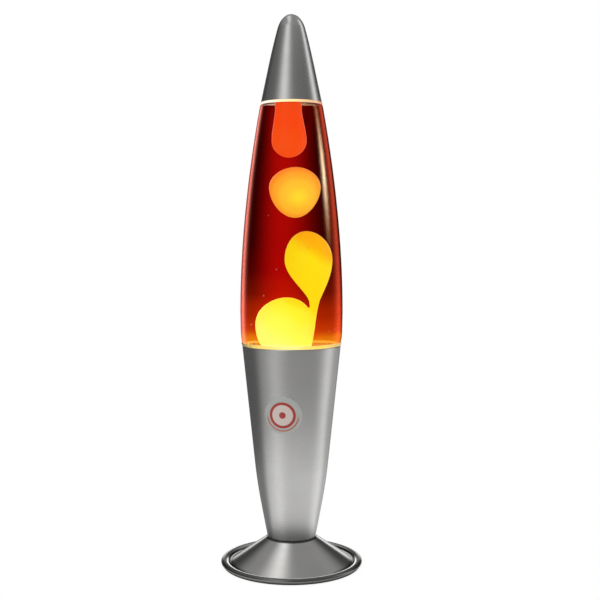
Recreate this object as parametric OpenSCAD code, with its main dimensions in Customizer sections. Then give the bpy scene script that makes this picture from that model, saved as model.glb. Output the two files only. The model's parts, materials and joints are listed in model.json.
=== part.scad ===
// Rocket-shaped lava lamp: a flared foot, a tapered base with a reflector bulb inside,
// a sealed glass globe of liquid and wax, and a pointed cap.
// Millimetres, +Z up. The origin is on the table under the lamp's centre and the front faces -Y.

/* [Foot] */
// Outer radius of the rolled rim
rim_r = 53.2; // [52:0.1:55]
// Radius of the neck, where the foot meets the base
neck_r = 18.1; // [17.5:0.1:18.5]
// Height of the neck above the table
neck_z = 21; // [20.5:0.1:21.5]
// Thickness of the spun metal
sheet = 0.9; // [0.8:0.1:1]

/* [Base] */
// Radius of the base at the bend in its side
bend_r = 25.9; // [25:0.1:26.5]
// Height of that bend
bend_z = 62; // [58:1:66]
// Outer radius at the top of the base
base_top_r = 36.8; // [36.6:0.1:37]
// Height of the top of the base
base_top_z = 166; // [165.8:0.1:166.2]
// Radius of the round sticker on the front
sticker_r = 14; // [12:0.5:15]
// Height of the middle of the sticker
sticker_z = 118; // [100:0.5:125]

/* [Globe] */
// Largest outer radius of the glass
globe_r = 38.2; // [37.8:0.1:38.6]
// Height of the largest radius
globe_z = 190; // [186:1:194]
// Thickness of the glass
glass = 2.2; // [2:0.1:2.4]
// Outer radius of the bottle's neck
bottle_neck_r = 12.6; // [12.3:0.1:12.8]
// Height of the top of the bottle's mouth
mouth_z = 372; // [371:0.5:373]
// Height of the surface of the liquid
fill_z = 351; // [350.6:0.1:352]

/* [Cap] */
// Height of the tip, which is the height of the lamp
lamp_h = 410; // [408:0.5:412]
// Outer radius at the open end of the cap
cap_r = 22.7; // [22.6:0.1:22.8]
// Height of the open end of the cap
cap_z = 345.5; // [345.4:0.1:345.6]
// Thickness of the cap's metal
cap_wall = 0.6; // [0.5:0.1:0.7]

/* [Wax] */
// Radius of the mound of wax on the floor of the globe
mound_r = 15.6; // [14:0.1:16]
// Height of the mound
mound_h = 37.8; // [35:0.1:38.5]
// Radius of the head of the drop that rises from the mound
drop_r = 13.7; // [12:0.1:14]
// Radius of the free blob halfway up
middle_r = 14.7; // [13:0.1:15.5]
// Radius of the blob under the cap
top_r = 10.2; // [9:0.1:10.6]

/* [Bulb] */
// Height of the bulb's end contact, with the bulb screwed home
bulb_z = 60; // [59.9:0.1:60.5]
// Length of the bulb
bulb_len = 67; // [66:1:68]
// Radius of the reflector
bulb_r = 19.5; // [19:0.1:20]
// Pitch of the Edison thread
thread_pitch = 2.822; // [2.822:0.001:2.823]

/* [Hidden] */
$fn = 96;
eps = 0.01;

// Foot: slope of the flared top, and the middle of the rolled rim
flare_r = rim_r - 6.9;
flare_z = 1.64;
flare_slope = (neck_z - flare_z) / (flare_r - neck_r);
flare_drop = sheet * sqrt(1 + flare_slope * flare_slope);
rim_half_w = 2.9;
rim_half_h = 1.8;
rim_low = 0.6;
nipple_r = 5;
nipple_hole = 5.2;

// Underside of the foot: cover, its posts and screws, and the cord's hole
cover_z = 2.4;
cover_t = 1.2;
cover_r = 41.2;
post_at = 35;
post_angles = [-90, 30, 150];
screw_r = 1.45;
grommet_at = 28;
grommet_bore = 3.15;

// Shoulder of the globe, below its neck
shoulder_z = 342.4;
shoulder_in = 14.87;

// Wall of the base, and the sticker's glue and film
flange_r = 35;
glue_t = 0.1;
film_t = 0.15;

// Threaded nipple and lampholder
nipple_low = 13.5;
nipple_high = 42;
nut_r = 8.1;
nut_h = 3;
washer_t = 1;
holder_z = 38;
holder_r = 14;
insert_z = 50;
thread_depth = 0.8;
thread_sides = 20;
cap_thread_r = 6.545;
shell_thread_r = 7.2;
shell_wall = 0.35;

// Places of the wax, which looks a third wider through the round globe than it is
mound_x = -4.7;
drop_x = 9.6;
drop_z = 232.9;
drop_half_h = 18.2;
waist = [12, 0, 194];
waist_r = 2.8;
middle_x = 1.9;
middle_z = 282.4;
top_x = -1.4;
floor_z = base_top_z - 1.7;
coil_r = 8;
coil_x = -4.7;
coil_z = floor_z + 3;
coil_turn_r = 2;
coil_wire_r = 0.35;

// One point of a cubic curve with four control points
function curve_at(c, t) = c[0] * pow(1 - t, 3) + 3 * c[1] * t * pow(1 - t, 2)
    + 3 * c[2] * t * t * (1 - t) + c[3] * pow(t, 3);
// Points along a cubic curve, without its first point
function curve(c, steps) = [for (i = [1:steps]) curve_at(c, i / steps)];
function backwards(list) = [for (i = [len(list) - 1:-1:0]) list[i]];
function unit(v) = v / norm(v);
// Height of the foot's outer face, and outer radius of the base's upper wall
function flare_height(r) = neck_z - (r - neck_r) * flare_slope;
function base_radius(z) = bend_r + (z - bend_z) * (base_top_r - bend_r) / (base_top_z - bend_z);

// Outline of the globe's side, from the middle of its floor to its shoulder
function globe_side(r, z, corner_r, corner_z, low_z, neck) = concat(
    [[0, low_z], [18 * r / globe_r, low_z]],
    curve([[18 * r / globe_r, low_z], [corner_r - 8.6, low_z], [corner_r - 4.1, corner_z - 1.1],
        [corner_r, corner_z]], 6),
    curve([[corner_r, corner_z], [r + 0.4, corner_z + 1.2], [r - 0.4, z - 14], [r, z]], 12),
    curve([[r, z], [r, z + 45], [r - 4.7, z + 97], [r - shoulder_in, shoulder_z]], 24),
    neck);

module lathe(points) {
    rotate_extrude() polygon(points);
}

// A round tube swept along a route; each reference vector turns its ring
module swept(route, reference, radius, sides) {
    last = len(route) - 1;
    points = [for (k = [0:last])
        let (d = unit(route[min(k + 1, last)] - route[max(k - 1, 0)]))
        let (u = unit(reference[k] - d * (reference[k] * d)))
        let (v = cross(d, u))
        for (i = [0:sides - 1])
            route[k] + radius * (cos(360 * i / sides) * u + sin(360 * i / sides) * v)];
    sides_faces = [for (k = [0:last - 1]) for (i = [0:sides - 1])
        let (a = k * sides + i, b = a + sides)
        let (d = k * sides + (i + 1) % sides, c = d + sides)
        each [[a, b, c], [a, c, d]]];
    polyhedron(points, concat(sides_faces, [[for (i = [0:sides - 1]) i]],
        [[for (i = [sides - 1:-1:0]) last * sides + i]]));
}

// A thin tube pressed into a round Edison thread, open at both ends, plain above plain_z
function thread_ring(mean_r, z, depth) = [for (i = [0:thread_sides - 1])
    let (a = 360 * i / thread_sides)
    let (r = mean_r + depth / 2 * cos(360 * z / thread_pitch - a))
    [r * cos(a), r * sin(a), z]];
module thread_tube(outer_r, wall, z0, z1, plain_z) {
    rows = ceil((z1 - z0) / thread_pitch * 6);
    n = thread_sides;
    m = (rows + 1) * n;
    points = [for (r = [outer_r, outer_r - wall]) for (k = [0:rows])
        let (z = z0 + (z1 - z0) * k / rows)
        each thread_ring(r, z, z > plain_z ? 0 : thread_depth)];
    side = [for (k = [0:rows - 1]) for (i = [0:n - 1])
        let (a = k * n + i, b = a + n, d = k * n + (i + 1) % n, c = d + n)
        each [[a, b, c], [a, c, d], [m + a, m + c, m + b], [m + a, m + d, m + c]]];
    ends = [for (i = [0:n - 1])
        let (j = (i + 1) % n, t = rows * n)
        each [[t + i, m + t + i, m + t + j], [t + i, m + t + j, t + j],
            [i, j, m + j], [i, m + j, m + i]]];
    polyhedron(points, concat(side, ends));
}

// A cone between two balls of radius r1 and r2, sunk a little into both
module taper(p1, r1, p2, r2, sunk = 0) {
    axis = p2 - p1;
    long = norm(axis);
    lean = (r1 - r2) / long;
    side = sqrt(1 - lean * lean);
    translate(p1) rotate([0, acos(axis[2] / long), atan2(axis[1], axis[0])])
        translate([0, 0, r1 * lean])
            cylinder(h = long + (r2 - r1) * lean, r1 = r1 * side - sunk, r2 = r2 * side - sunk);
}

module nut(z) {
    translate([0, 0, z]) difference() {
        cylinder(h = nut_h, r = nut_r, $fn = 6);
        translate([0, 0, -eps]) cylinder(h = nut_h + 2 * eps, r = nipple_r);
    }
}

module washer(z) {
    translate([0, 0, z]) difference() {
        cylinder(h = washer_t, r = 9.5);
        translate([0, 0, -eps]) cylinder(h = washer_t + 2 * eps, r = nipple_hole);
    }
}

module at_posts() {
    for (a = post_angles) rotate([0, 0, a]) translate([post_at, 0, 0]) children();
}

module at_grommet() {
    translate([0, grommet_at, flare_height(grommet_at)]) rotate([-90 + atan(1 / flare_slope), 0, 0])
        children();
}

// ---- Foot and what is in it

// Spun foot: flat top, sloping flare, groove and rolled rim, with three screw posts inside
module foot() {
    rim_mid = [rim_r - rim_half_w, rim_low + rim_half_h];
    color("silver") difference() {
        union() {
            rotate_extrude() union() {
                polygon([[nipple_hole, neck_z], [neck_r, neck_z], [flare_r, flare_z],
                    [flare_r + 1.6, flare_z], [flare_r + 1.6, flare_z - sheet],
                    [flare_r - 0.5, flare_z - sheet], [neck_r - 0.4, neck_z - flare_drop],
                    [nipple_hole, neck_z - flare_drop]]);
                polygon([for (i = [0:31])
                    rim_mid + [rim_half_w * cos(i * 360 / 32), rim_half_h * sin(i * 360 / 32)]]);
            }
            intersection() {
                at_posts() translate([0, 0, cover_z + cover_t]) cylinder(h = 10, r = 3);
                lathe([[0, 0], [0, neck_z - 0.5], [neck_r, neck_z - 0.5],
                    [flare_r, flare_z - 0.5], [flare_r, 0]]);
            }
        }
        at_posts() cylinder(h = 7, r = screw_r);
        at_grommet() translate([0, 0, -5]) cylinder(h = 10, r = 4.7);
    }
}

// Rubber ring under the rolled rim
module pad_ring() {
    color("black") lathe([[48.9, 0], [51.7, 0], [51.7, rim_low], [48.9, rim_low]]);
}

module bottom_cover() {
    color("dimgray") difference() {
        translate([0, 0, cover_z]) cylinder(h = cover_t, r = cover_r);
        at_posts() translate([0, 0, cover_z - 1]) cylinder(h = 4, r = screw_r + 0.2);
    }
}

module cover_screws() {
    color("gainsboro") at_posts() difference() {
        union() {
            translate([0, 0, 0.9]) cylinder(h = cover_z - 0.9, r = 2.7);
            translate([0, 0, cover_z - eps]) cylinder(h = 3.6, r = screw_r - 0.05);
        }
        for (a = [0, 90]) rotate([0, 0, a]) translate([-1.5, -0.3, 0.5]) cube([3, 0.6, 1.1]);
    }
}

// Rubber bush that lines the hole for the cord
module cord_grommet() {
    color("dimgray") at_grommet() lathe([[grommet_bore, -2.9], [5.6, -2.9], [5.9, -2.6],
        [5.9, -1.4], [4.6, -1.4], [4.6, 0.1], [6.2, 0.1], [6.2, 0.8], [5.2, 1.9],
        [grommet_bore, 1.9]]);
}

module terminal_block() {
    color("ivory") difference() {
        translate([-9, 9.5, 4]) cube([18, 9, 8]);
        for (x = [-4.5, 4.5]) {
            translate([x, 9.4, 7]) rotate([-90, 0, 0]) cylinder(h = 9.2, r = 1.5);
            for (y = [11.7, 16.3]) translate([x, y, 7]) cylinder(h = 6, r = 1.45);
        }
    }
}

module block_screws() {
    color("darkgoldenrod") for (x = [-4.5, 4.5]) for (y = [11.7, 16.3])
        translate([x, y, 8.9]) difference() {
            cylinder(h = 2.7, r = 1.35);
            translate([-1.5, -0.25, 2]) cube([3, 0.5, 1]);
        }
}

// Route of a lead from the terminal block through the nipple to the lampholder
function lead_route(s) = [[4.5 * s, 11, 7], [4.5 * s, 8, 7], [4 * s, 4.5, 7.4],
    [2.6 * s, 1.4, 9.2], [1.7 * s, 0.2, 12], [1.7 * s, 0, 15], [1.7 * s, 0, 28],
    [1.7 * s, 0, 41.5], [2.4 * s, 0, 43.4], [4.6 * s, 0, 45.4], [6.2 * s, 0, 47.4]];
module lead(s) {
    route = lead_route(s);
    swept(route, [for (p = route) [0, 0.9, -0.4]], 0.95, 8);
}

module lead_live() {
    color("saddlebrown") lead(-1);
}

module lead_neutral() {
    color("royalblue") lead(1);
}

// ---- Clamp between foot and base

module nipple() {
    color("goldenrod") lathe([[4.1, nipple_low], [nipple_r - 0.3, nipple_low],
        [nipple_r, nipple_low + 0.4], [nipple_r, nipple_high - 0.4],
        [nipple_r - 0.3, nipple_high], [4.1, nipple_high]]);
}

module nut_lower() {
    color("silver") nut(neck_z - flare_drop - washer_t - nut_h);
}

module washer_lower() {
    color("silver") washer(neck_z - flare_drop - washer_t);
}

module washer_upper() {
    color("silver") washer(neck_z + sheet);
}

module nut_upper() {
    color("silver") nut(neck_z + sheet + washer_t);
}

// ---- Base

module base_cone() {
    color("silver") lathe([[nipple_hole, neck_z], [neck_r, neck_z], [bend_r, bend_z],
        [base_top_r, base_top_z - 0.5], [base_top_r - 0.4, base_top_z],
        [flange_r, base_top_z], [flange_r, base_top_z - sheet],
        [base_top_r - 1, base_top_z - sheet], [bend_r - sheet, bend_z],
        [neck_r - sheet, neck_z + sheet], [nipple_hole, neck_z + sheet]]);
}

// Round sticker that follows the wall of the base
module sticker() {
    z0 = sticker_z - 20;
    z1 = sticker_z + 20;
    color("whitesmoke") rotate([0, 0, -11.5]) intersection() {
        lathe([[base_radius(z0) + glue_t, z0], [base_radius(z0) + glue_t + film_t, z0],
            [base_radius(z1) + glue_t + film_t, z1], [base_radius(z1) + glue_t, z1]]);
        translate([0, 0, sticker_z]) rotate([90, 0, 0]) cylinder(h = 60, r = sticker_r);
    }
}

// Clear rubber ring between the base and the glass
module seat_ring() {
    color("khaki") lathe([[base_top_r - 0.4, base_top_z], [base_top_r + 0.2, base_top_z + 0.15],
        [base_top_r + 0.7, base_top_z + 2.3], [base_top_r + 0.65, base_top_z + 2.6],
        [base_top_r + 0.5, base_top_z + 2.6], [base_top_r + 0.05, base_top_z + 1.7],
        [base_top_r - 0.9, base_top_z + 0.6], [flange_r + 0.2, base_top_z]]);
}

// ---- Lampholder

module holder_dome() {
    color("ivory") lathe([[nipple_r, holder_z], [9, holder_z], [13, holder_z + 3],
        [holder_r, holder_z + 7], [holder_r, insert_z + 4], [12.2, insert_z + 4],
        [12.2, insert_z], [11, insert_z], [11, holder_z + 4.8], [nipple_r, holder_z + 2.6]]);
}

module holder_skirt() {
    color("ivory") lathe([[12.2, insert_z + 4], [holder_r, insert_z + 4],
        [holder_r, insert_z + 24], [13.2, insert_z + 27], [10.8, insert_z + 28],
        [10.8, insert_z + 26.4], [12.2, insert_z + 24]]);
}

// Ceramic core that carries the screw shell and the contact
module holder_insert() {
    color("white") difference() {
        lathe([[0, insert_z], [11.9, insert_z], [11.9, insert_z + 7], [10, insert_z + 7],
            [10, insert_z + 22], [8.2, insert_z + 22], [8.2, insert_z + 7], [0, insert_z + 7]]);
        for (s = [-1, 1]) translate([6.2 * s, 0, insert_z - 1]) cylinder(h = 5, r = 1.5);
    }
}

module holder_screw_shell() {
    color("goldenrod") thread_tube(shell_thread_r, shell_wall, insert_z + 7, insert_z + 22,
        insert_z + 22);
}

// Sprung tongue under the bulb's end contact
module holder_contact() {
    color("goldenrod") translate([0, 0, insert_z + 7]) {
        translate([-2.5, -2, 0]) cube([5, 4, 0.5]);
        cylinder(h = 2.2, r = 1.6);
        translate([0, 0, 2.2 - eps]) cylinder(h = 0.5, r1 = 1.6, r2 = 1.1);
    }
}

module terminal_screws() {
    color("darkgoldenrod") for (s = [-1, 1]) translate([6.2 * s, 0, insert_z - 1.6]) difference() {
        union() {
            cylinder(h = 1.6, r = 2.4);
            cylinder(h = 5.4, r = 1.45);
        }
        translate([-3, -0.3, -eps]) cube([6, 0.6, 0.6]);
    }
}

// ---- Reflector bulb

module bulb_contact() {
    color("silver") translate([0, 0, bulb_z]) {
        cylinder(h = 0.6, r1 = 1.7, r2 = 2.4);
        translate([0, 0, 0.6 - eps]) cylinder(h = 0.6, r = 2.4);
    }
}

module bulb_insulator() {
    color("black") lathe([[0, bulb_z + 1.5], [2.6, bulb_z + 1.5], [5.7, bulb_z + 4.3],
        [5.7, bulb_z + 4.9], [0, bulb_z + 4.9]]);
}

module bulb_screw_cap() {
    color("silver") thread_tube(cap_thread_r, 0.3, bulb_z + 5, bulb_z + 25, bulb_z + 21);
}

// Blown envelope: narrow neck, silvered bowl and frosted face
module bulb_glass() {
    top = bulb_z + bulb_len;
    neck = bulb_z + 23;
    outside = concat([[6.1, neck], [6.1, neck + 2.3]],
        curve([[6.1, neck + 2.3], [6.6, neck + 13], [bulb_r, neck + 15], [bulb_r, top - 13]], 12),
        curve([[bulb_r, top - 13], [bulb_r, top - 5], [bulb_r - 7, top], [0, top]], 10));
    inside = concat([[5.3, neck + 0.8], [5.3, neck + 2.6]],
        curve([[5.3, neck + 2.6], [5.8, neck + 13.6], [bulb_r - 0.8, neck + 15.6],
            [bulb_r - 0.8, top - 13]], 12),
        curve([[bulb_r - 0.8, top - 13], [bulb_r - 0.8, top - 5.6], [bulb_r - 7.4, top - 0.8],
            [0, top - 0.8]], 10));
    color("lightcyan") lathe(concat([[0, neck]], outside, backwards(inside), [[0, neck + 0.8]]));
}

module bulb_stem() {
    color("azure") lathe([[0, bulb_z + 23.9], [4.2, bulb_z + 23.9], [2.2, bulb_z + 27],
        [1.6, bulb_z + 36], [0, bulb_z + 36.6]]);
}

module bulb_support_wires() {
    color("gray") for (s = [-1, 1]) {
        taper([2.6 * s, 0, bulb_z + 28], 0.3, [7.2 * s, 0, bulb_z + 46], 0.3);
    }
}

// Coiled filament hung in an arc between its wires
module bulb_filament() {
    turns = 24;
    steps = turns * 5;
    core = [for (i = [0:steps]) [6.4 * cos(180 * i / steps), 0,
        bulb_z + 46.8 + 3.5 * sin(180 * i / steps)]];
    spoke = [for (i = [0:steps]) let (a = 360 * turns * i / steps)
        let (b = 180 * i / steps) [cos(b) * cos(a), sin(a), sin(b) * cos(a)]];
    color("dimgray") swept([for (i = [0:steps]) core[i] + 0.45 * spoke[i]], spoke, 0.1, 4);
}

// ---- Globe

module globe_glass() {
    inner_neck = bottle_neck_r - 3;
    outside = globe_side(globe_r, globe_z, globe_r - 3.6, base_top_z + 0.1, base_top_z - 4.1, concat(
        curve([[globe_r - shoulder_in, shoulder_z], [22.6, shoulder_z + 3.6],
            [bottle_neck_r, shoulder_z + 3.6], [bottle_neck_r, 360]], 8),
        [[bottle_neck_r, 363], [bottle_neck_r + 0.7, 364], [bottle_neck_r + 0.7, 367],
            [bottle_neck_r - 0.1, 368.2], [bottle_neck_r + 0.2, 370.4], [bottle_neck_r - 0.6, mouth_z]]));
    inner_r = globe_r - glass;
    inside = globe_side(inner_r, globe_z, globe_r - 5.4, base_top_z + 2, floor_z, concat(
        curve([[inner_r - shoulder_in, shoulder_z], [20.4, shoulder_z + 1.1],
            [inner_neck, shoulder_z + 2.1], [inner_neck, 360]], 8),
        [[inner_neck, mouth_z]]));
    color("lightyellow", 0.4) lathe(concat(outside, backwards(inside)));
}

// Wax shapes, grown by g for the space that the liquid leaves round them
module mound_shape(g) {
    top = floor_z + mound_h;
    mid = floor_z + mound_h / 2;
    translate([mound_x, 0, 0]) lathe(concat([[0, floor_z + 0.1 - g], [7, floor_z + 0.1 - g]],
        curve([[7, floor_z + 0.1 - g], [mound_r * 0.8, floor_z + 0.3 - g],
            [mound_r + g, mid - 10.5], [mound_r + g, mid]], 10),
        curve([[mound_r + g, mid], [mound_r + g, mid + mound_h * 0.27],
            [mound_r * 0.55, top + g], [0, top + g]], 12)));
    translate([drop_x, 0, 0]) lathe(concat([[0, drop_z - drop_half_h - g]],
        curve([[0, drop_z - drop_half_h - g], [drop_r * 0.55, drop_z - drop_half_h - g],
            [drop_r + g, drop_z - 10], [drop_r + g, drop_z]], 10),
        curve([[drop_r + g, drop_z], [drop_r + g, drop_z + 10],
            [drop_r * 0.55, drop_z + drop_half_h + g], [0, drop_z + drop_half_h + g]], 10)));
    taper([drop_x, 0, drop_z - 3], drop_r + g, waist, waist_r + g, 0.3);
    translate(waist) sphere(r = waist_r + g);
    taper(waist, waist_r + g, [6, 0, 180], 4.5 + g, 0.3);
}

module middle_shape(g) {
    low = middle_z - 22.1 - g;
    high = middle_z + 16.8 + g;
    r = middle_r + g;
    translate([middle_x, 0, 0]) lathe(concat([[0, low]],
        curve([[0, low], [0.59 * r, low], [r, middle_z - 11.4], [r, middle_z]], 12),
        curve([[r, middle_z], [r, middle_z + 10.1], [0.61 * r, high], [0, high]], 12)));
}

module top_shape(g) {
    r = top_r + g;
    translate([top_x, 0, 0]) lathe(concat([[0, 306 - g]],
        curve([[0, 306 - g], [0.63 * r, 306 - g], [r, 311], [r, 318.2]], 10),
        curve([[r, 318.2], [r, 326], [8 + g, 331], [7.7 + g, 338]], 8),
        curve([[7.7 + g, 338], [7.4 + g, 345], [8.3, 348.3 + g], [0, 348.3 + g]], 8)));
}

module coil_space(g) {
    translate([coil_x, 0, coil_z]) rotate_extrude() translate([coil_r, 0])
        circle(r = coil_turn_r + coil_wire_r + g, $fn = 32);
}

module liquid() {
    inner_r = globe_r - glass - 0.05;
    top = fill_z;
    color("maroon", 0.4) difference() {
        intersection() {
            lathe(concat(globe_side(inner_r, globe_z, globe_r - 5.45, base_top_z + 2.05,
                floor_z + 0.05, curve([[inner_r - shoulder_in, shoulder_z],
                    [20.3, shoulder_z + 1], [bottle_neck_r - 3.1, shoulder_z + 2],
                    [bottle_neck_r - 3.1, 360]], 8)), [[0, 360]]));
            cylinder(h = top, r = 60);
        }
        mound_shape(0.2);
        middle_shape(0.3);
        top_shape(0.3);
        coil_space(0.2);
    }
}

module wax_mound() {
    color("yellow") difference() {
        mound_shape(0);
        coil_space(0.1);
    }
}

module wax_middle() {
    color("orange") middle_shape(0);
}

module wax_top() {
    color("orangered") top_shape(0);
}

// Ring of coiled wire on the floor of the globe, which spreads the heat
module heat_coil() {
    turns = 28;
    steps = turns * 8;
    spoke = [for (i = [0:steps]) let (b = 356 * i / steps, a = 360 * turns * i / steps)
        [cos(b) * cos(a), sin(b) * cos(a), sin(a)]];
    route = [for (i = [0:steps]) let (b = 356 * i / steps)
        [coil_x + coil_r * cos(b), coil_r * sin(b), coil_z] + coil_turn_r * spoke[i]];
    color("gray") swept(route, spoke, coil_wire_r, 4);
}

// Crown cork with a fluted skirt
module crown_cap() {
    flutes = 21;
    function wave(r) = [for (i = [0:flutes * 6 - 1]) let (a = i * 360 / (flutes * 6))
        (r + 0.35 * cos(a * flutes)) * [cos(a), sin(a)]];
    color("goldenrod") union() {
        translate([0, 0, mouth_z - 4.6]) linear_extrude(height = 3.2) difference() {
            polygon(wave(14.7));
            polygon(wave(14.35));
        }
        lathe([[13.9, mouth_z - 1.6], [15.05, mouth_z - 1.6], [14.6, mouth_z + 0.2],
            [13.4, mouth_z + 1.3], [0, mouth_z + 1.3], [0, mouth_z + 1], [13.2, mouth_z + 1]]);
    }
}

module crown_liner() {
    color("whitesmoke") translate([0, 0, mouth_z]) cylinder(h = 0.95, r = 12.6);
}

// ---- Cap

module cap_cone() {
    tip_r = 10.2;
    tip_z = lamp_h - 10.3;
    outside = concat([[cap_r, cap_z]],
        curve([[cap_r, cap_z], [18.7, cap_z + 18], [15, tip_z - 17], [tip_r, tip_z]], 16),
        curve([[tip_r, tip_z], [9.2, tip_z + 3.6], [6, lamp_h], [0, lamp_h]], 10));
    inside = concat([[cap_r - cap_wall, cap_z]],
        curve([[cap_r - cap_wall, cap_z], [18.7 - cap_wall, cap_z + 18],
            [15 - cap_wall, tip_z - 17], [tip_r - cap_wall, tip_z]], 16),
        curve([[tip_r - cap_wall, tip_z], [9.2 - cap_wall, tip_z + 3.4],
            [5.6, lamp_h - cap_wall], [0, lamp_h - cap_wall]], 10));
    color("silver") lathe(concat(outside, backwards(inside)));
}

// Clear plastic ring in the cap's open end, which rests on the glass
module cap_ring() {
    inside_r = cap_r - cap_wall - 0.05;
    color("khaki") lathe([[cap_r + 0.4, cap_z - 2], [cap_r + 0.6, cap_z - 1.7],
        [cap_r + 0.25, cap_z - 0.05], [inside_r, cap_z - 0.05], [inside_r - 0.75, cap_z + 3.4],
        [20.3, cap_z + 3.4], [20.5, cap_z + 0.4], [21.7, cap_z - 0.6],
        [cap_r - 0.15, cap_z - 1.4]]);
}

foot();
pad_ring();
bottom_cover();
cover_screws();
cord_grommet();
terminal_block();
block_screws();
lead_live();
lead_neutral();
nipple();
nut_lower();
washer_lower();
base_cone();
sticker();
seat_ring();
washer_upper();
nut_upper();
holder_dome();
holder_skirt();
holder_insert();
holder_screw_shell();
holder_contact();
terminal_screws();
bulb_contact();
bulb_insulator();
bulb_screw_cap();
bulb_glass();
bulb_stem();
bulb_filament();
bulb_support_wires();
globe_glass();
liquid();
wax_mound();
wax_middle();
wax_top();
heat_coil();
crown_cap();
crown_liner();
cap_cone();
cap_ring();
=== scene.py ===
"""The looks of the rocket lava lamp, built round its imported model.

Sizes of pieces are in millimetres, and MM turns them into Blender's metres. Bump depths are in metres.
"""

import json
import math

import bmesh
import bpy
from mathutils import Matrix, Vector

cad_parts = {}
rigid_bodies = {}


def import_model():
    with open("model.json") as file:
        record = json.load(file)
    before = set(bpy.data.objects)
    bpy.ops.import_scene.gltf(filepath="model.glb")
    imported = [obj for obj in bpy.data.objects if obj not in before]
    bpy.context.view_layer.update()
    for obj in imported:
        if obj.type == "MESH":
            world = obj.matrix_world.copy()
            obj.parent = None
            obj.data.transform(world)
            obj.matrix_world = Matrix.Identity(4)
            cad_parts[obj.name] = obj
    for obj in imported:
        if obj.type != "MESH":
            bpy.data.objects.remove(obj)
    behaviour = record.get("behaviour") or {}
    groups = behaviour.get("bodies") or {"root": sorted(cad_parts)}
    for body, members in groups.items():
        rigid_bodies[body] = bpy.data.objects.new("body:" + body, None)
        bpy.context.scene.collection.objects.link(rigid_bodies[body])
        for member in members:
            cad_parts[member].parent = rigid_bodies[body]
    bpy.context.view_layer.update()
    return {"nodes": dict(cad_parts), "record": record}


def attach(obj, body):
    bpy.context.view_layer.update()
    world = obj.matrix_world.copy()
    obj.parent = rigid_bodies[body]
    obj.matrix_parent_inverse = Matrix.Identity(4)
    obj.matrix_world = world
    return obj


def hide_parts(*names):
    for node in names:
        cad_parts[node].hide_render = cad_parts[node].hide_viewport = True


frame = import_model()

MM = 0.001
AROUND = 192  # flat sides that stand for a full circle

# Heights and radii of the outside, in millimetres, as in the part's source
NECK_R, NECK_Z = 18.1, 21
BEND_R, BEND_Z = 25.9, 62
BASE_TOP_R, BASE_TOP_Z = 36.8, 166
FLANGE_R = 35
NIPPLE_HOLE = 5.2
SHEET = 0.9
FLARE_R, FLARE_Z = 46.3, 1.64
RIM_MID, RIM_HALF_W, RIM_HALF_H = (50.3, 2.4), 2.9, 1.8
GROMMET_AT, GROMMET_R = 28, 4.7
POST_AT, POST_R, POST_ANGLES, SCREW_R = 35, 3, (-90, 30, 150), 1.45
GLOBE_R, GLOBE_Z, GLASS = 38.2, 190, 2.2
GLOBE_LOW, GLOBE_FLOOR = BASE_TOP_Z - 4.1, BASE_TOP_Z - 1.7
SHOULDER_Z, SHOULDER_IN = 342.4, 14.87
BOTTLE_NECK_R, BOTTLE_NECK_Z, BOTTLE_LIP_Z, FILL_Z = 12.6, 360, 370.5, 351
CAP_R, CAP_Z, LAMP_H, CAP_WALL = 22.7, 345.5, 410, 0.6
STICKER_R, STICKER_Z, STICKER_TURN = 14, 118, -11.5
BULB_FACE_Z = 113.5

NOISE_LOW, NOISE_HIGH = 0.3, 0.7  # where most of a noise texture's values lie
# Dark colour for painted shade and painted dark reflections on the spun metal, partly dirt.
PAINTED_DARK = (0.10, 0.10, 0.095)
DARK_RED = (0.012, 0.0003, 0.0002)
BLACK = (0.0, 0.0, 0.0)
WHITE = (1.0, 1.0, 1.0)


# ---- Outlines

def curve(p0, p1, p2, p3, steps=12):
    """Points along a cubic curve, without its first point. A point may have any number of values."""
    found = []
    for i in range(1, steps + 1):
        t = i / steps
        share = ((1 - t) ** 3, 3 * t * (1 - t) ** 2, 3 * t * t * (1 - t), t ** 3)
        found.append(tuple(sum(w * v for w, v in zip(share, values))
                           for values in zip(p0, p1, p2, p3)))
    return found


def arc(middle, half_w, half_h, start, end, steps=20):
    """Points on an ellipse from one angle to another, in degrees."""
    angles = [math.radians(start + (end - start) * i / steps) for i in range(steps + 1)]
    return [(middle[0] + half_w * math.cos(a), middle[1] + half_h * math.sin(a)) for a in angles]


def rounded(corners, steps=5):
    """A closed outline from (r, z) points and (r, z, rounding) corners. Each rounding becomes a curve."""
    points = []
    for i, corner in enumerate(corners):
        if len(corner) == 2:
            points.append(tuple(corner))
            continue
        here = Vector(corner[:2])
        before = Vector(corners[i - 1][:2]) - here
        after = Vector(corners[(i + 1) % len(corners)][:2]) - here
        reach = min(corner[2], 0.48 * before.length, 0.48 * after.length)
        start, end = here + before.normalized() * reach, here + after.normalized() * reach
        for k in range(steps + 1):
            t = k / steps
            points.append(tuple(start * (1 - t) ** 2 + here * 2 * t * (1 - t) + end * t * t))
    return points


def globe_side(r, corner_r, corner_z, low_z, shoulder):
    """The globe's side from the middle of its floor to its neck, as the part's source has it."""
    foot_r = 18 * r / GLOBE_R
    side = [(0, low_z), (foot_r, low_z)]
    side += curve((foot_r, low_z), (corner_r - 8.6, low_z), (corner_r - 4.1, corner_z - 1.1),
                  (corner_r, corner_z), 10)
    side += curve((corner_r, corner_z), (r + 0.4, corner_z + 1.2), (r - 0.4, GLOBE_Z - 14),
                  (r, GLOBE_Z), 24)
    top = (r - SHOULDER_IN, SHOULDER_Z)
    side += curve((r, GLOBE_Z), (r, GLOBE_Z + 45), (r - 4.7, GLOBE_Z + 97), top, 48)
    return side + curve(top, *shoulder, steps=14)


# ---- Meshes

def shown(name, mesh, sharp=35):
    """An object with smooth faces, and hard edges where the surface turns by more than sharp degrees."""
    mesh.shade_smooth()
    mesh.set_sharp_from_angle(angle=math.radians(sharp))
    piece = bpy.data.objects.new(name, mesh)
    bpy.context.scene.collection.objects.link(piece)
    return piece


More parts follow.
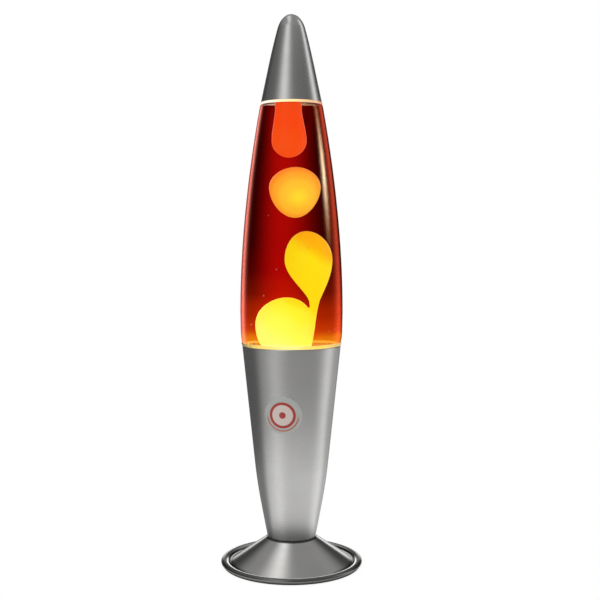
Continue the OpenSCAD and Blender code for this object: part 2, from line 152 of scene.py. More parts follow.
def from_faces(name, points, faces, sharp=35):
    """An object from points in millimetres, with doubled points merged and its faces turned outwards."""
    mesh = bpy.data.meshes.new(name)
    mesh.from_pydata([tuple(c * MM for c in p) for p in points], [], faces)
    mesh.validate()
    tidy = bmesh.new()
    tidy.from_mesh(mesh)
    bmesh.ops.remove_doubles(tidy, verts=tidy.verts, dist=1e-7)
    bmesh.ops.recalc_face_normals(tidy, faces=tidy.faces)
    tidy.to_mesh(mesh)
    tidy.free()
    return shown(name, mesh, sharp)


def lathe(name, outline, sides=AROUND, sharp=35):
    """A closed outline of (r, z) turned about the Z axis."""
    count = len(outline)
    points, faces = [], []
    for i in range(sides):
        a = 2 * math.pi * i / sides
        points += [(r * math.cos(a), r * math.sin(a), z) for r, z in outline]
    for i in range(sides):
        here, there = i * count, (i + 1) % sides * count
        for k in range(count):
            m = (k + 1) % count
            if outline[k][0] + outline[m][0] > 0:
                faces.append((here + k, there + k, there + m, here + m))
    return from_faces(name, points, faces, sharp)


def blob(name, pieces):
    """A round body from cubic curves through (left, right, z). Each level's ring runs left to right."""
    sides = 64
    levels = [pieces[0][0]]
    for piece in pieces:
        levels += curve(*piece, steps=14)
    points, faces = [], []
    for left, right, z in levels:
        for i in range(sides):
            a = 2 * math.pi * i / sides
            points.append(((left + right) / 2 + (right - left) / 2 * math.cos(a),
                           (right - left) / 2 * math.sin(a), z))
    for k in range(len(levels) - 1):
        for i in range(sides):
            j = (i + 1) % sides
            faces.append((k * sides + i, k * sides + j, (k + 1) * sides + j, (k + 1) * sides + i))
    last = (len(levels) - 1) * sides
    faces.append(tuple(range(sides)))
    faces.append(tuple(last + i for i in reversed(range(sides))))
    return from_faces(name, points, faces)


def applied(piece):
    """The same piece with its modifiers made part of its mesh."""
    graph = bpy.context.evaluated_depsgraph_get()
    graph.update()
    piece.data = bpy.data.meshes.new_from_object(piece.evaluated_get(graph))
    piece.modifiers.clear()
    return piece


def joined(name, pieces):
    """One piece made of several; the parts that it was made of are removed."""
    mesh = bpy.data.meshes.new(name)
    everything = bmesh.new()
    for piece in pieces:
        piece.data.transform(piece.matrix_world)
        everything.from_mesh(piece.data)
        bpy.data.objects.remove(piece)
    everything.to_mesh(mesh)
    everything.free()
    return shown(name, mesh)


def cut(piece, tool):
    """Takes the tool's shape out of the piece."""
    taking = piece.modifiers.new("cut", "BOOLEAN")
    taking.operation = "DIFFERENCE"
    taking.solver = "EXACT"
    taking.object = tool
    applied(piece)
    bpy.data.objects.remove(tool)
    piece.data.set_sharp_from_angle(angle=math.radians(35))


def melted(piece, voxel, passes):
    """Joins a piece's overlapping shells into one skin and softens the creases between them."""
    remesh = piece.modifiers.new("skin", "REMESH")
    remesh.mode = "VOXEL"
    remesh.voxel_size = voxel * MM
    remesh.use_smooth_shade = True
    soften = piece.modifiers.new("soften", "SMOOTH")
    soften.factor = 0.5
    soften.iterations = passes
    return applied(piece)


# ---- Shader nodes

class Graph:
    """Adds nodes to a tree. An input is a number, a colour or another node's output."""

    def __init__(self, tree):
        self.tree = tree
        tree.nodes.clear()

    def put(self, socket, value):
        if isinstance(value, bpy.types.NodeSocket):
            self.tree.links.new(value, socket)
        elif socket.type == "RGBA" and len(value) == 3:
            socket.default_value = (*value, 1)
        else:
            socket.default_value = value

    def add(self, kind, inputs=None, output=0, **settings):
        node = self.tree.nodes.new("ShaderNode" + kind)
        for key, value in settings.items():
            setattr(node, key, value)
        for socket, value in (inputs or {}).items():
            self.put(node.inputs[socket], value)
        return node.outputs[output]

    def math(self, operation, a, b=0.0):
        return self.add("Math", {0: a, 1: b}, operation=operation)

    def total(self, *values):
        found = values[0]
        for value in values[1:]:
            found = self.math("ADD", found, value)
        return found

    def times(self, *values):
        found = values[0]
        for value in values[1:]:
            found = self.math("MULTIPLY", found, value)
        return found

    def fade(self, value, start, end, low=0.0, high=1.0):
        """Smoothly from low to high as the value goes from start to end."""
        return self.add("MapRange", {"Value": value, "From Min": start, "From Max": end,
                                     "To Min": low, "To Max": high},
                        interpolation_type="SMOOTHSTEP")

    def bell(self, value, middle, width):
        """1 at the middle, falling away smoothly on both sides over the width."""
        offset = self.math("DIVIDE", self.math("SUBTRACT", value, middle), width)
        return self.math("EXPONENT", self.times(offset, offset, -1.0))

    def mix(self, factor, a, b, blend="MIX"):
        return self.add("Mix", {0: factor, 6: a, 7: b}, output=2, data_type="RGBA", blend_type=blend)

    def ramp(self, factor, stops):
        """Colours along a factor, from (place, colour) stops."""
        node = self.tree.nodes.new("ShaderNodeValToRGB")
        node.color_ramp.interpolation = "EASE"
        points = node.color_ramp.elements
        while len(points) < len(stops):
            points.new(0.5)
        for point, (place, colour) in zip(points, stops):
            point.position = place
            point.color = (*colour, 1)
        self.put(node.inputs[0], factor)
        return node.outputs[0]

    def noise(self, vector, scale, detail=3.0, roughness=0.5):
        return self.add("TexNoise", {"Vector": vector, "Scale": scale, "Detail": detail,
                                     "Roughness": roughness})

    def spread(self, noise, low, high):
        """Smoothly from low to high over the values that a noise takes."""
        return self.fade(noise, NOISE_LOW, NOISE_HIGH, low, high)

    def shades(self, noise, dark, light):
        """From a dark to a light colour over the values that a noise takes."""
        return self.ramp(noise, [(NOISE_LOW, dark), (NOISE_HIGH, light)])

    def combine(self, x, y, z):
        return self.add("CombineXYZ", {0: x, 1: y, 2: z})

    def grey(self, value):
        return self.combine(value, value, value)

    def xyz(self, vector):
        """The three parts of a vector."""
        node = self.tree.nodes.new("ShaderNodeSeparateXYZ")
        self.put(node.inputs[0], vector)
        return node.outputs[0], node.outputs[1], node.outputs[2]


class Finish(Graph):
    """A material with one Principled shader, in the piece's own coordinates."""

    def __init__(self, name, **values):
        self.material = bpy.data.materials.new(name)
        self.material.use_nodes = True
        super().__init__(self.material.node_tree)
        self.out = self.tree.nodes.new("ShaderNodeOutputMaterial")
        self.shader = self.tree.nodes.new("ShaderNodeBsdfPrincipled")
        self.put(self.out.inputs["Surface"], self.shader.outputs[0])
        self.place = self.add("TexCoord", output="Object")
        self.x, self.y, self.z = self.xyz(self.place)
        for key, value in values.items():
            self.set(key.replace("_", " "), value)

    def set(self, socket, value):
        self.put(self.shader.inputs[socket], value)

    def bump(self, height, distance, strength=1.0):
        self.set("Normal", self.add("Bump", {"Height": height, "Distance": distance,
                                             "Strength": strength}))

    def radius(self):
        return self.math("SQRT", self.total(self.times(self.x, self.x), self.times(self.y, self.y)))


# ---- Materials

def painted_seam_shade(made):
    """Painted shade: dark at the foot of the base's wall, where it meets the foot."""
    return made.fade(made.z, (NECK_Z + 1.3) * MM, (NECK_Z + 0.6) * MM)


def foot_reflections_and_dirt(made):
    """Painted dark reflections and shade: dark where the foot meets the base, in the groove at its left
    and right, and in a band round the rim. They stand in for dark reflections that this studio doesn't
    give, as much as for dirt."""
    radius = made.radius()
    joint = made.fade(radius, (NECK_R + 1.3) * MM, (NECK_R + 0.7) * MM)
    # Only at the left and right sides: a painted dark reflection in the groove.
    sides = made.fade(made.math("ABSOLUTE", made.x), 26 * MM, 36 * MM)
    groove_in = made.fade(radius, (FLARE_R - 2.8) * MM, (FLARE_R - 0.8) * MM)
    groove_out = made.fade(radius, (FLARE_R + 1.9) * MM, (FLARE_R + 1.3) * MM)
    rim_r, rim_z = RIM_MID
    outside = made.fade(radius, (rim_r + 0.7) * MM, (rim_r + 1.2) * MM)
    above_middle = made.fade(made.z, (rim_z - 0.2) * MM, (rim_z + 0.4) * MM)
    return made.total(joint, made.times(groove_in, groove_out, sides),
                      made.times(outside, above_middle, 0.85))


def spun_metal(name, dark, light, rough, darkening):
    """Spun aluminium: very fine rings from the lathe, broad soft bands, faint mottling, and painted shade
    and dark reflections mixed in by the darkening mask.
    """
    made = Finish(name, Metallic=1.0)
    radius = made.radius()
    along = made.math("SUBTRACT", made.times(radius, 1.3), made.z)
    off_axis = made.math("ADD", radius, 2 * MM)
    turn_x = made.math("DIVIDE", made.x, off_axis)
    turn_y = made.math("DIVIDE", made.y, off_axis)
    rings = made.noise(made.combine(made.times(along, 1800), turn_x, turn_y), 1.0, 2.0)
    bands = made.noise(made.combine(made.times(along, 90), turn_x, turn_y), 1.0, 2.0)
    mottle = made.noise(made.place, 45, 3.0, 0.55)
    uneven = made.total(made.times(rings, 0.15), made.times(bands, 0.35), made.times(mottle, 0.5))
    clean = made.ramp(uneven, [(0.25, dark), (0.75, light)])
    # Painted shade and dark reflections: the darkening mask mixes in the dark colour.
    made.set("Base Color", made.mix(darkening(made), clean, PAINTED_DARK))
    made.set("Roughness", made.fade(uneven, 0.25, 0.75, rough + 0.025, rough - 0.025))
    made.bump(rings, 0.000004, 0.07)
    return made.material


def sheet_metal(name, dark, light, rough, grain=400):
    """Plain or plated metal with faint stains and tiny scratches."""
    made = Finish(name, Metallic=1.0)
    stains = made.noise(made.place, grain, 4.0, 0.6)
    scratches = made.noise(made.combine(made.times(made.x, 900), made.times(made.y, 900),
                                        made.times(made.z, 5000)), 1.0, 2.0)
    worn = made.total(made.times(stains, 0.6), made.times(scratches, 0.4))
    made.set("Base Color", made.shades(worn, dark, light))
    made.set("Roughness", made.spread(worn, rough + 0.08, rough - 0.05))
    made.bump(worn, 0.00002, 0.5)
    return made.material


def moulded(name, dark, light, rough, grain=1500, depth=0.00003, sheen=0.0):
    """Rubber, plastic or glazed china, with a grain in its surface and slightly uneven colour."""
    made = Finish(name, Sheen_Weight=sheen)
    texture = made.noise(made.place, grain, 3.0, 0.6)
    patches = made.noise(made.place, grain / 18, 3.0)
    uneven = made.total(made.times(texture, 0.3), made.times(patches, 0.7))
    made.set("Base Color", made.shades(uneven, dark, light))
    made.set("Roughness", made.spread(texture, rough + 0.06, rough - 0.06))
    made.bump(texture, depth, 0.6)
    return made.material


def clear_glass():
    """The globe: clear glass, with the slow waves of a blown and moulded bottle."""
    made = Finish("clear_glass", Transmission_Weight=1.0, IOR=1.5, Roughness=0.0)
    waves = made.noise(made.combine(made.x, made.y, made.times(made.z, 0.35)), 60, 1.0)
    made.set("Base Color", made.shades(waves, (0.97, 0.975, 0.97), WHITE))
    made.bump(waves, 0.0001, 0.12)
    return made.material


def stem_glass():
    """The glass inside the bulb that carries the filament."""
    made = Finish("stem_glass", Transmission_Weight=1.0, IOR=1.5)
    waves = made.noise(made.place, 300, 2.0)
    made.set("Base Color", made.shades(waves, (0.88, 0.92, 0.92), (0.95, 0.97, 0.97)))
    made.set("Roughness", made.spread(waves, 0.02, 0.08))
    return made.material


def frosted_glass():
    """The bulb: a silvered bowl below its widest ring and a frosted, glowing face above it."""
    made = Finish("frosted_glass")
    face = made.fade(made.z, (BULB_FACE_Z - 1) * MM, (BULB_FACE_Z + 1) * MM)
    grain = made.noise(made.place, 900, 3.0)
    made.set("Base Color", made.mix(face, (0.72, 0.71, 0.69), (0.93, 0.9, 0.84)))
    made.set("Metallic", made.math("SUBTRACT", 1.0, face))
    made.set("Roughness", made.math("ADD", made.times(face, 0.35), made.times(grain, 0.2)))
    made.set("Emission Color", made.mix(face, BLACK, (1.0, 0.78, 0.42)))
    made.set("Emission Strength", 1.3)
    made.bump(grain, 0.00002, 0.5)
    return made.material


def liquid_finish():
    """Dyed liquid: clear red, darker with depth, with the bulb's light painted in as an emission of its
    own, brightest near its floor.
    """
    made = Finish("liquid", Transmission_Weight=1.0, IOR=1.33, Roughness=0.0)
    made.set("Base Color", WHITE)
    low, high = 164 * MM, 352 * MM
    height = made.math("DIVIDE", made.math("SUBTRACT", made.z, low), high - low)
    cloud = made.times(made.math("SUBTRACT", made.noise(made.place, 45, 2.0), 0.5), 0.03)
    # Painted light: the bulb's glow, orange near the floor and fading to dark red higher up, a little
    # brighter again near the top.
    made.set("Emission Color", made.ramp(made.math("ADD", height, cloud), [
        (0.01, (0.58, 0.24, 0.006)), (0.045, (0.50, 0.14, 0.003)), (0.075, (0.33, 0.027, 0.001)),
        (0.14, (0.22, 0.012, 0.0)), (0.235, (0.075, 0.003, 0.0)), (0.32, (0.03, 0.0, 0.0)),
        (0.42, (0.012, 0.0, 0.0)), (0.75, (0.008, 0.0, 0.0)), (0.97, (0.025, 0.0, 0.0))]))
    made.set("Emission Strength", 1.0)
    depth = made.add("VolumeAbsorption", {"Color": (0.80, 0.40, 0.20), "Density": 25.0})
    made.put(made.out.inputs["Volume"], depth)
    return made.material


def wax(name, stops, low=0, high=1, heart=None):
    """Molten wax, with the bulb's light through it painted in as its own emission. Its colours are that
    painted light and run from its lowest point to its highest, a little further along on the right, or
    outwards from a bright painted heart (x, y, z, reach)."""
    made = Finish(name, Roughness=0.3, IOR=1.45)
    # Painted light: brightest at the heart and fading outwards.
    if heart:
        away = [made.math("SUBTRACT", p, at * MM) for p, at in zip((made.x, made.y, made.z), heart)]
        square = made.total(*[made.times(a, a) for a in away])
        place = made.math("DIVIDE", made.math("SQRT", square), heart[3] * MM)
    else:
        # Painted light: yellower low down, where the bulb's light comes in, redder higher up and a little
        # further along on the right.
        height = made.math("DIVIDE", made.math("SUBTRACT", made.z, low * MM), (high - low) * MM)
        place = made.total(height, made.times(made.x, 8.0))
    swirl = made.noise(made.combine(made.x, made.y, made.times(made.z, 0.5)), 55, 3.0)
    drift = made.times(made.math("SUBTRACT", swirl, 0.5), 0.14)
    colour = made.ramp(made.total(place, drift), stops)
    made.set("Emission Color", colour)
    made.set("Emission Strength", 1.0)
    made.set("Base Color", made.mix(0.85, colour, BLACK))
    made.bump(swirl, 0.0006, 0.2)
    return made.material


def glow_ring(name, stops, strength):
    """Clear rubber or plastic with the lamp's light in it, painted in as its own glow. Its glow colours
    run from left to right: painted shading, darker at the seat ring's left and right, paler on the cap
    ring's left and redder on its right.
    """
    made = Finish(name, Roughness=0.25, Coat_Weight=0.6, Coat_Roughness=0.1)
    cloud = made.noise(made.place, 250, 2.0)
    # Painted light and shade: the glow colour changes from left to right across the ring.
    across = made.math("ADD", made.math("DIVIDE", made.x, 80 * MM), 0.5)
    ripple = made.times(made.math("SUBTRACT", cloud, 0.5), 0.12)
    colour = made.ramp(made.total(across, ripple), stops)
    made.set("Base Color", made.mix(0.8, colour, (0.1, 0.07, 0.03)))
    made.set("Emission Color", colour)
    made.set("Emission Strength", strength)
    made.bump(cloud, 0.00005, 0.4)
    return made.material


def bubble_finish():
    """A bubble: a dull red speck with a little of the wax's light on it."""
    made = Finish("bubble", Roughness=0.1)
    made.set("Base Color", (0.3, 0.05, 0.03))
    made.set("Emission Color", made.mix(made.noise(made.place, 900, 1.0), (0.20, 0.015, 0.01),
                                        (0.50, 0.10, 0.07)))
    made.set("Emission Strength", 1.0)
    return made.material


def sticker_finish():
    """A thin printed film: a red ring with a paler middle and a thin brown line round its lower side."""
    made = Finish("sticker_film", Roughness=0.32, Coat_Weight=0.4, Coat_Roughness=0.2)
    turn = math.radians(STICKER_TURN)
    across = made.total(made.times(made.x, math.cos(turn)), made.times(made.y, math.sin(turn)))
    up = made.math("SUBTRACT", made.z, STICKER_Z * MM)
    reach = made.math("SQRT", made.total(made.times(across, across), made.times(up, up)))
    edge, dot_r, middle_r = 0.3 * MM, 2.6 * MM, 8.0 * MM
    ring_in, ring_out = 7.8 * MM, 9.8 * MM
    line_in, line_out = 11.2 * MM, 12.2 * MM
    ring = made.times(made.fade(reach, ring_in - edge, ring_in),
                      made.fade(reach, ring_out, ring_out - edge))
    line = made.times(made.fade(reach, line_in - edge, line_in),
                      made.fade(reach, line_out, line_out - edge), made.fade(up, 1 * MM, -4 * MM))
    dot = made.fade(reach, dot_r, dot_r - edge)
    fibres = made.noise(made.place, 1800, 3.0)
    film = made.shades(fibres, (0.40, 0.415, 0.385), (0.47, 0.485, 0.455))
    middle = made.fade(reach, middle_r + 0.1 * MM, middle_r - 0.1 * MM)
    colour = made.mix(middle, film, (0.66, 0.56, 0.51))
    colour = made.mix(line, colour, (0.46, 0.13, 0.08))
    colour = made.mix(made.math("MAXIMUM", ring, dot), colour, (0.40, 0.035, 0.025))
    made.set("Base Color", colour)
    made.set("Metallic", 0.15)
    made.bump(fibres, 0.00001, 0.5)
    return made.material


FINISHES = {
    # The satin metal gets painted shade at the foot of the base's wall; the polished foot gets painted
    # dark reflections in its groove and round its rim.
    "satin_metal": spun_metal("satin_metal", (0.595, 0.59, 0.58), (0.635, 0.63, 0.62), 0.27, painted_seam_shade),
    "polished_metal": spun_metal("polished_metal", (0.59, 0.585, 0.57), (0.64, 0.635, 0.62), 0.15,
                                 foot_reflections_and_dirt),
    "black_rubber": moulded("black_rubber", (0.012, 0.012, 0.012), (0.03, 0.03, 0.03), 0.62, 1800,
                            0.00005, 0.2),
    "black_plastic": moulded("black_plastic", (0.015, 0.015, 0.017), (0.03, 0.03, 0.033), 0.45),
    "white_plastic": moulded("white_plastic", (0.66, 0.64, 0.58), (0.78, 0.76, 0.71), 0.3, 600),
    "plated_steel": sheet_metal("plated_steel", (0.42, 0.43, 0.44), (0.62, 0.63, 0.64), 0.3),
    "brass": sheet_metal("brass", (0.45, 0.29, 0.09), (0.72, 0.52, 0.22), 0.28),
    "brown_insulation": moulded("brown_insulation", (0.10, 0.035, 0.014), (0.16, 0.06, 0.025), 0.35),
    "blue_insulation": moulded("blue_insulation", (0.02, 0.07, 0.25), (0.04, 0.11, 0.34), 0.35),
    "sticker_film": sticker_finish(),
    # Painted glow of the bulb's light, darker at the ring's left and right sides.
    "clear_rubber": glow_ring("clear_rubber", [
        (0.04, (0.22, 0.14, 0.04)), (0.12, (0.62, 0.44, 0.10)), (0.2, (0.90, 0.68, 0.12)),
        (0.5, (0.93, 0.86, 0.24)), (0.75, (0.90, 0.66, 0.08)), (0.95, (0.68, 0.44, 0.10))], 0.9),
    "porcelain": moulded("porcelain", (0.78, 0.77, 0.73), (0.86, 0.85, 0.82), 0.16, 400, 0.00001),
    "solder": sheet_metal("solder", (0.30, 0.30, 0.30), (0.48, 0.48, 0.48), 0.4),
    "black_glass": moulded("black_glass", (0.004, 0.004, 0.005), (0.012, 0.012, 0.014), 0.12, 300,
                           0.00001),
    "cap_aluminium": sheet_metal("cap_aluminium", (0.55, 0.55, 0.55), (0.74, 0.74, 0.73), 0.27),
    "frosted_glass": frosted_glass(),
    "stem_glass": stem_glass(),
    "filament": sheet_metal("filament", (0.10, 0.10, 0.10), (0.25, 0.25, 0.25), 0.45, 2000),
    "clear_glass": clear_glass(),
    "liquid": liquid_finish(),
    # The three waxes are one wax: their yellow, amber and orange are painted light of the bulb, redder
    # the higher the wax floats.
    "wax_yellow": wax("wax_yellow", [
        (0.0, (1.2, 1.44, 0.27)), (0.2, (1.2, 1.44, 0.13)), (0.38, (1.2, 1.40, 0.05)),
        (0.46, (1.2, 1.20, 0.012)), (0.85, (1.2, 1.08, 0.010)), (1.04, (1.2, 0.66, 0.005))], 161, 251),
    "wax_amber": wax("wax_amber", [
        (0.0, (1.2, 1.04, 0.045)), (0.45, (1.2, 0.75, 0.045)), (0.75, (1.2, 0.56, 0.038)),
        (1.0, (1.2, 0.38, 0.03))], heart=(5, -15, 274, 24)),
    "wax_orange": wax("wax_orange", [
        (0.0, (1.1, 0.12, 0.014)), (0.3, (1.1, 0.108, 0.010)), (0.55, (1.1, 0.09, 0.009)),
        (1.0, (1.0, 0.09, 0.012))], 303, 348),
    "crown_tinplate": sheet_metal("crown_tinplate", (0.55, 0.42, 0.20), (0.76, 0.63, 0.36), 0.25),
    # Painted glow of the bulb's light, pale on the left and redder on the right.
    "cap_ring_plastic": glow_ring("cap_ring_plastic", [
        (0.22, (0.95, 0.90, 0.78)), (0.5, (0.95, 0.76, 0.36)), (0.66, (0.80, 0.50, 0.24)),
        (0.78, (0.66, 0.30, 0.19))], 1.0),
    "bubble": bubble_finish(),
}


def dress_cad_nodes():
    """Gives each CAD node the finish of its slot in the record."""
    for subpart in frame["record"]["subparts"]:
        node = frame["nodes"][subpart["node"]]
        node.data.materials.clear()
        node.data.materials.append(FINISHES[subpart["material_slot"]])
        node.data.polygons.foreach_set("material_index", [0] * len(node.data.polygons))


def stands_for(piece, node, body, finish):
    """The piece replaces a CAD node and rides where it rides."""
    piece.data.materials.clear()
    piece.data.materials.append(FINISHES[finish])
    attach(piece, body)
    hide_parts(node)


# ---- Pieces

def make_foot():
    """Spun foot with a rolled rim; the posts for the cover's screws stand under it."""
    slope = (NECK_Z - FLARE_Z) / (FLARE_R - NECK_R)
    under = NECK_Z - SHEET * math.sqrt(1 + slope * slope)
    outline = rounded([
        (NIPPLE_HOLE, NECK_Z), (NECK_R, NECK_Z, 0.5), (FLARE_R - 0.2, FLARE_Z + 0.1, 1.6),
        (FLARE_R + 1.4, FLARE_Z - 0.1)])
    outline += arc(RIM_MID, RIM_HALF_W, RIM_HALF_H, 205, -67, 40)
    outline += [(FLARE_R - 0.5, FLARE_Z - SHEET), (NECK_R - 0.4, under), (NIPPLE_HOLE, under)]
    shell = lathe("foot_shell", outline, sharp=50)
    bore = lathe("grommet_bore", [(0, -5), (GROMMET_R, -5), (GROMMET_R, 5), (0, 5)], 48)
    lean = -math.pi / 2 + math.atan(1 / slope)
    spot = Vector((0, GROMMET_AT, NECK_Z - (GROMMET_AT - NECK_R) * slope)) * MM
    bore.matrix_world = Matrix.Translation(spot) @ Matrix.Rotation(lean, 4, "X")
    bpy.context.view_layer.update()
    cut(shell, bore)
    posts = []
    low, high = 3.6, 6.9
    for angle in POST_ANGLES:
        post = lathe("post", [(SCREW_R, low), (POST_R, low), (POST_R, high), (SCREW_R, high)], 32)
        out = Matrix.Translation((POST_AT * MM, 0, 0))
        post.matrix_world = Matrix.Rotation(math.radians(angle), 4, "Z") @ out
        posts.append(post)
    bpy.context.view_layer.update()
    stands_for(joined("foot_spun", [shell, *posts]), "foot", "base", "polished_metal")


def make_base():
    """Tapered wall with a soft bend in its side and an edge turned in under the glass."""
    outline = rounded([
        (NIPPLE_HOLE, NECK_Z), (NECK_R, NECK_Z, 0.8), (BEND_R, BEND_Z, 16),
        (BASE_TOP_R, BASE_TOP_Z - 0.4, 0.7), (BASE_TOP_R - 0.5, BASE_TOP_Z),
        (FLANGE_R, BASE_TOP_Z, 0.3), (FLANGE_R, BASE_TOP_Z - SHEET, 0.3),
        (BASE_TOP_R - 1, BASE_TOP_Z - SHEET, 0.3),
        (BEND_R - SHEET, BEND_Z, 16), (NECK_R - SHEET, NECK_Z + SHEET, 1.2),
        (NIPPLE_HOLE, NECK_Z + SHEET)], 8)
    stands_for(lathe("base_spun", outline, sharp=50), "base_cone", "base", "satin_metal")


def make_seat_ring():
    """Soft ring that the globe sits in, on the base's turned-in edge."""
    r, z = BASE_TOP_R, BASE_TOP_Z
    outline = rounded([
        (r - 0.4, z), (r + 0.2, z + 0.15, 0.4), (r + 0.7, z + 2.3, 0.3), (r + 0.65, z + 2.6),
        (r + 0.5, z + 2.6), (r + 0.05, z + 1.7, 0.6), (r - 0.9, z + 0.6, 0.4), (FLANGE_R + 0.2, z)])
    stands_for(lathe("seat_ring_soft", outline), "seat_ring", "base", "clear_rubber")


def make_globe():
    """The glass bottle, and the liquid, whose skin lies just inside the glass."""
    neck, neck_z, lip_z = BOTTLE_NECK_R, BOTTLE_NECK_Z, BOTTLE_LIP_Z
    outside = globe_side(GLOBE_R, GLOBE_R - 3.6, BASE_TOP_Z + 0.1, GLOBE_LOW,
                         [(22.6, SHOULDER_Z + 3.6), (neck, SHOULDER_Z + 3.6), (neck, neck_z)])
    outside += [(neck, neck_z + 3), (neck + 0.7, neck_z + 4), (neck + 0.7, neck_z + 7),
                (neck - 0.1, neck_z + 8.2)]
    lip = (neck - 1.3, lip_z)
    outside += arc(lip, 1.5, 1.5, 0, 90, 5)
    inner_r, inner_neck = GLOBE_R - GLASS, neck - 3
    corner_r, corner_z = GLOBE_R - 5.4, BASE_TOP_Z + 2
    inside = globe_side(inner_r, corner_r, corner_z, GLOBE_FLOOR,
                        [(20.4, SHOULDER_Z + 1.1), (inner_neck, SHOULDER_Z + 2.1), (inner_neck, neck_z)])
    inside += arc(lip, 1.7, 1.5, 180, 90, 5)[:-1]
    bottle = lathe("globe_bottle", outside + inside[::-1], sharp=60)
    stands_for(bottle, "globe_glass", "globe", "clear_glass")

    skin = 0.15
    wet = globe_side(inner_r + skin, corner_r + skin, corner_z - skin, GLOBE_FLOOR - skin,
                     [(20.4 + skin, SHOULDER_Z + 1.1), (inner_neck + skin, SHOULDER_Z + 2.1),
                      (inner_neck + skin, neck_z)])
    wet = [p for p in wet if p[1] < FILL_Z] + [(inner_neck + skin + 0.35, FILL_Z), (0, FILL_Z)]
    stands_for(lathe("liquid_body", wet, sharp=60), "liquid", "globe", "liquid")


def make_wax():
    """The wax in the globe: a mound with a drop rising from it, a free blob, and a blob at the top."""
    mound = blob("mound", [
        [(-2.5, -2.5, 201.9), (-11, 6, 201.9), (-20.4, 12, 194), (-20.4, 12, 182)],
        [(-20.4, 12, 182), (-20.4, 12, 173), (-18, 10.5, 165), (-12, 7, 164.6)]])
    drop = blob("drop", [
        [(8.4, 8.4, 250.2), (0.8, 16.3, 250.2), (-3.9, 23.3, 240), (-3.9, 23.3, 229.3)],
        [(-3.9, 23.3, 229.3), (-3.9, 23.3, 217.5), (7.5, 18.6, 207.5), (9.8, 16, 199.6)],
        [(9.8, 16, 199.6), (10.8, 14.8, 194), (10.1, 14, 188), (9.8, 13.3, 180)],
        [(9.8, 13.3, 180), (9.4, 12.7, 174), (8, 11.5, 168), (7, 11, 164.6)]])
    low = melted(joined("wax_low", [mound, drop]), 0.6, 8)
    stands_for(low, "wax_mound", "globe", "wax_yellow")
    middle = blob("wax_free", [
        [(2.5, 2.5, 296.8), (-5.5, 10.3, 296.8), (-12.5, 16.3, 290), (-12.5, 16.3, 282)],
        [(-12.5, 16.3, 282), (-12.5, 16.3, 272), (-6, 9.6, 259.9), (2, 2, 259.9)]])
    stands_for(middle, "wax_middle", "middle_blob", "wax_amber")
    top = blob("wax_high", [
        [(-1.4, -1.4, 348.3), (-7.7, 4.3, 348.3), (-9, 5.6, 346), (-9, 5.6, 341)],
        [(-9, 5.6, 341), (-9, 5.6, 333), (-11, 8.4, 324), (-11, 8.4, 315.5)],
        [(-11, 8.4, 315.5), (-11, 8.4, 309), (-6.3, 3.6, 303.7), (-1.4, -1.4, 303.7)]])
    stands_for(top, "wax_top", "top_blob", "wax_orange")


def make_bubbles():
    """Small bubbles that cling to the inside of the glass."""
    found = []
    for x, z, r in ((-10.3, 223.5, 0.6), (-19.2, 204.4, 0.7), (-27.8, 183, 0.8), (30.5, 179.3, 0.9),
                    (-26, 169.6, 0.8), (26.4, 178.2, 0.6), (12, 239, 0.4), (-16, 262, 0.4)):
        bubble = lathe("bubble", arc((0, 0), r, r * 0.92, -90, 90, 12), 24)
        wall = 34.6 if z < 235 else 33.0  # the bubble's distance from the axis, just inside the glass
        bubble.matrix_world = Matrix.Translation(
            Vector((x, -math.sqrt(wall * wall - x * x), z)) * MM)
        found.append(bubble)
    bpy.context.view_layer.update()
    bubbles = joined("bubbles", found)
    bubbles.data.materials.append(FINISHES["bubble"])
    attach(bubbles, "globe")


def make_cap():
    """The pointed cap and the clear ring in its open end."""
    tip_r, tip_z, w = 10.2, LAMP_H - 10.3, CAP_WALL
    outside = [(CAP_R, CAP_Z)]
    outside += curve((CAP_R, CAP_Z), (18.7, CAP_Z + 18), (15, tip_z - 17), (tip_r, tip_z), 32)
    outside += curve((tip_r, tip_z), (9.2, tip_z + 3.6), (6, LAMP_H), (0, LAMP_H), 20)
    inside = [(CAP_R - w, CAP_Z)]
    inside += curve((CAP_R - w, CAP_Z), (18.7 - w, CAP_Z + 18), (15 - w, tip_z - 17),
                    (tip_r - w, tip_z), 32)
    inside += curve((tip_r - w, tip_z), (9.2 - w, tip_z + 3.4), (5.6, LAMP_H - w), (0, LAMP_H - w), 20)
    stands_for(lathe("cap_spun", outside + inside[::-1], sharp=50), "cap_cone", "cap", "satin_metal")
    low_r = CAP_R - w - 0.05
    ring = rounded([
        (CAP_R + 0.4, CAP_Z - 2, 0.2), (CAP_R + 0.6, CAP_Z - 1.7, 0.2),
        (CAP_R + 0.25, CAP_Z - 0.05, 0.2), (low_r, CAP_Z - 0.05), (low_r - 0.75, CAP_Z + 3.4, 0.2),
        (20.3, CAP_Z + 3.4, 0.2), (20.5, CAP_Z + 0.4, 0.3), (21.7, CAP_Z - 0.6, 0.3),
        (CAP_R - 0.15, CAP_Z - 1.4, 0.2)])
    stands_for(lathe("cap_ring_clear", ring), "cap_ring", "cap", "cap_ring_plastic")


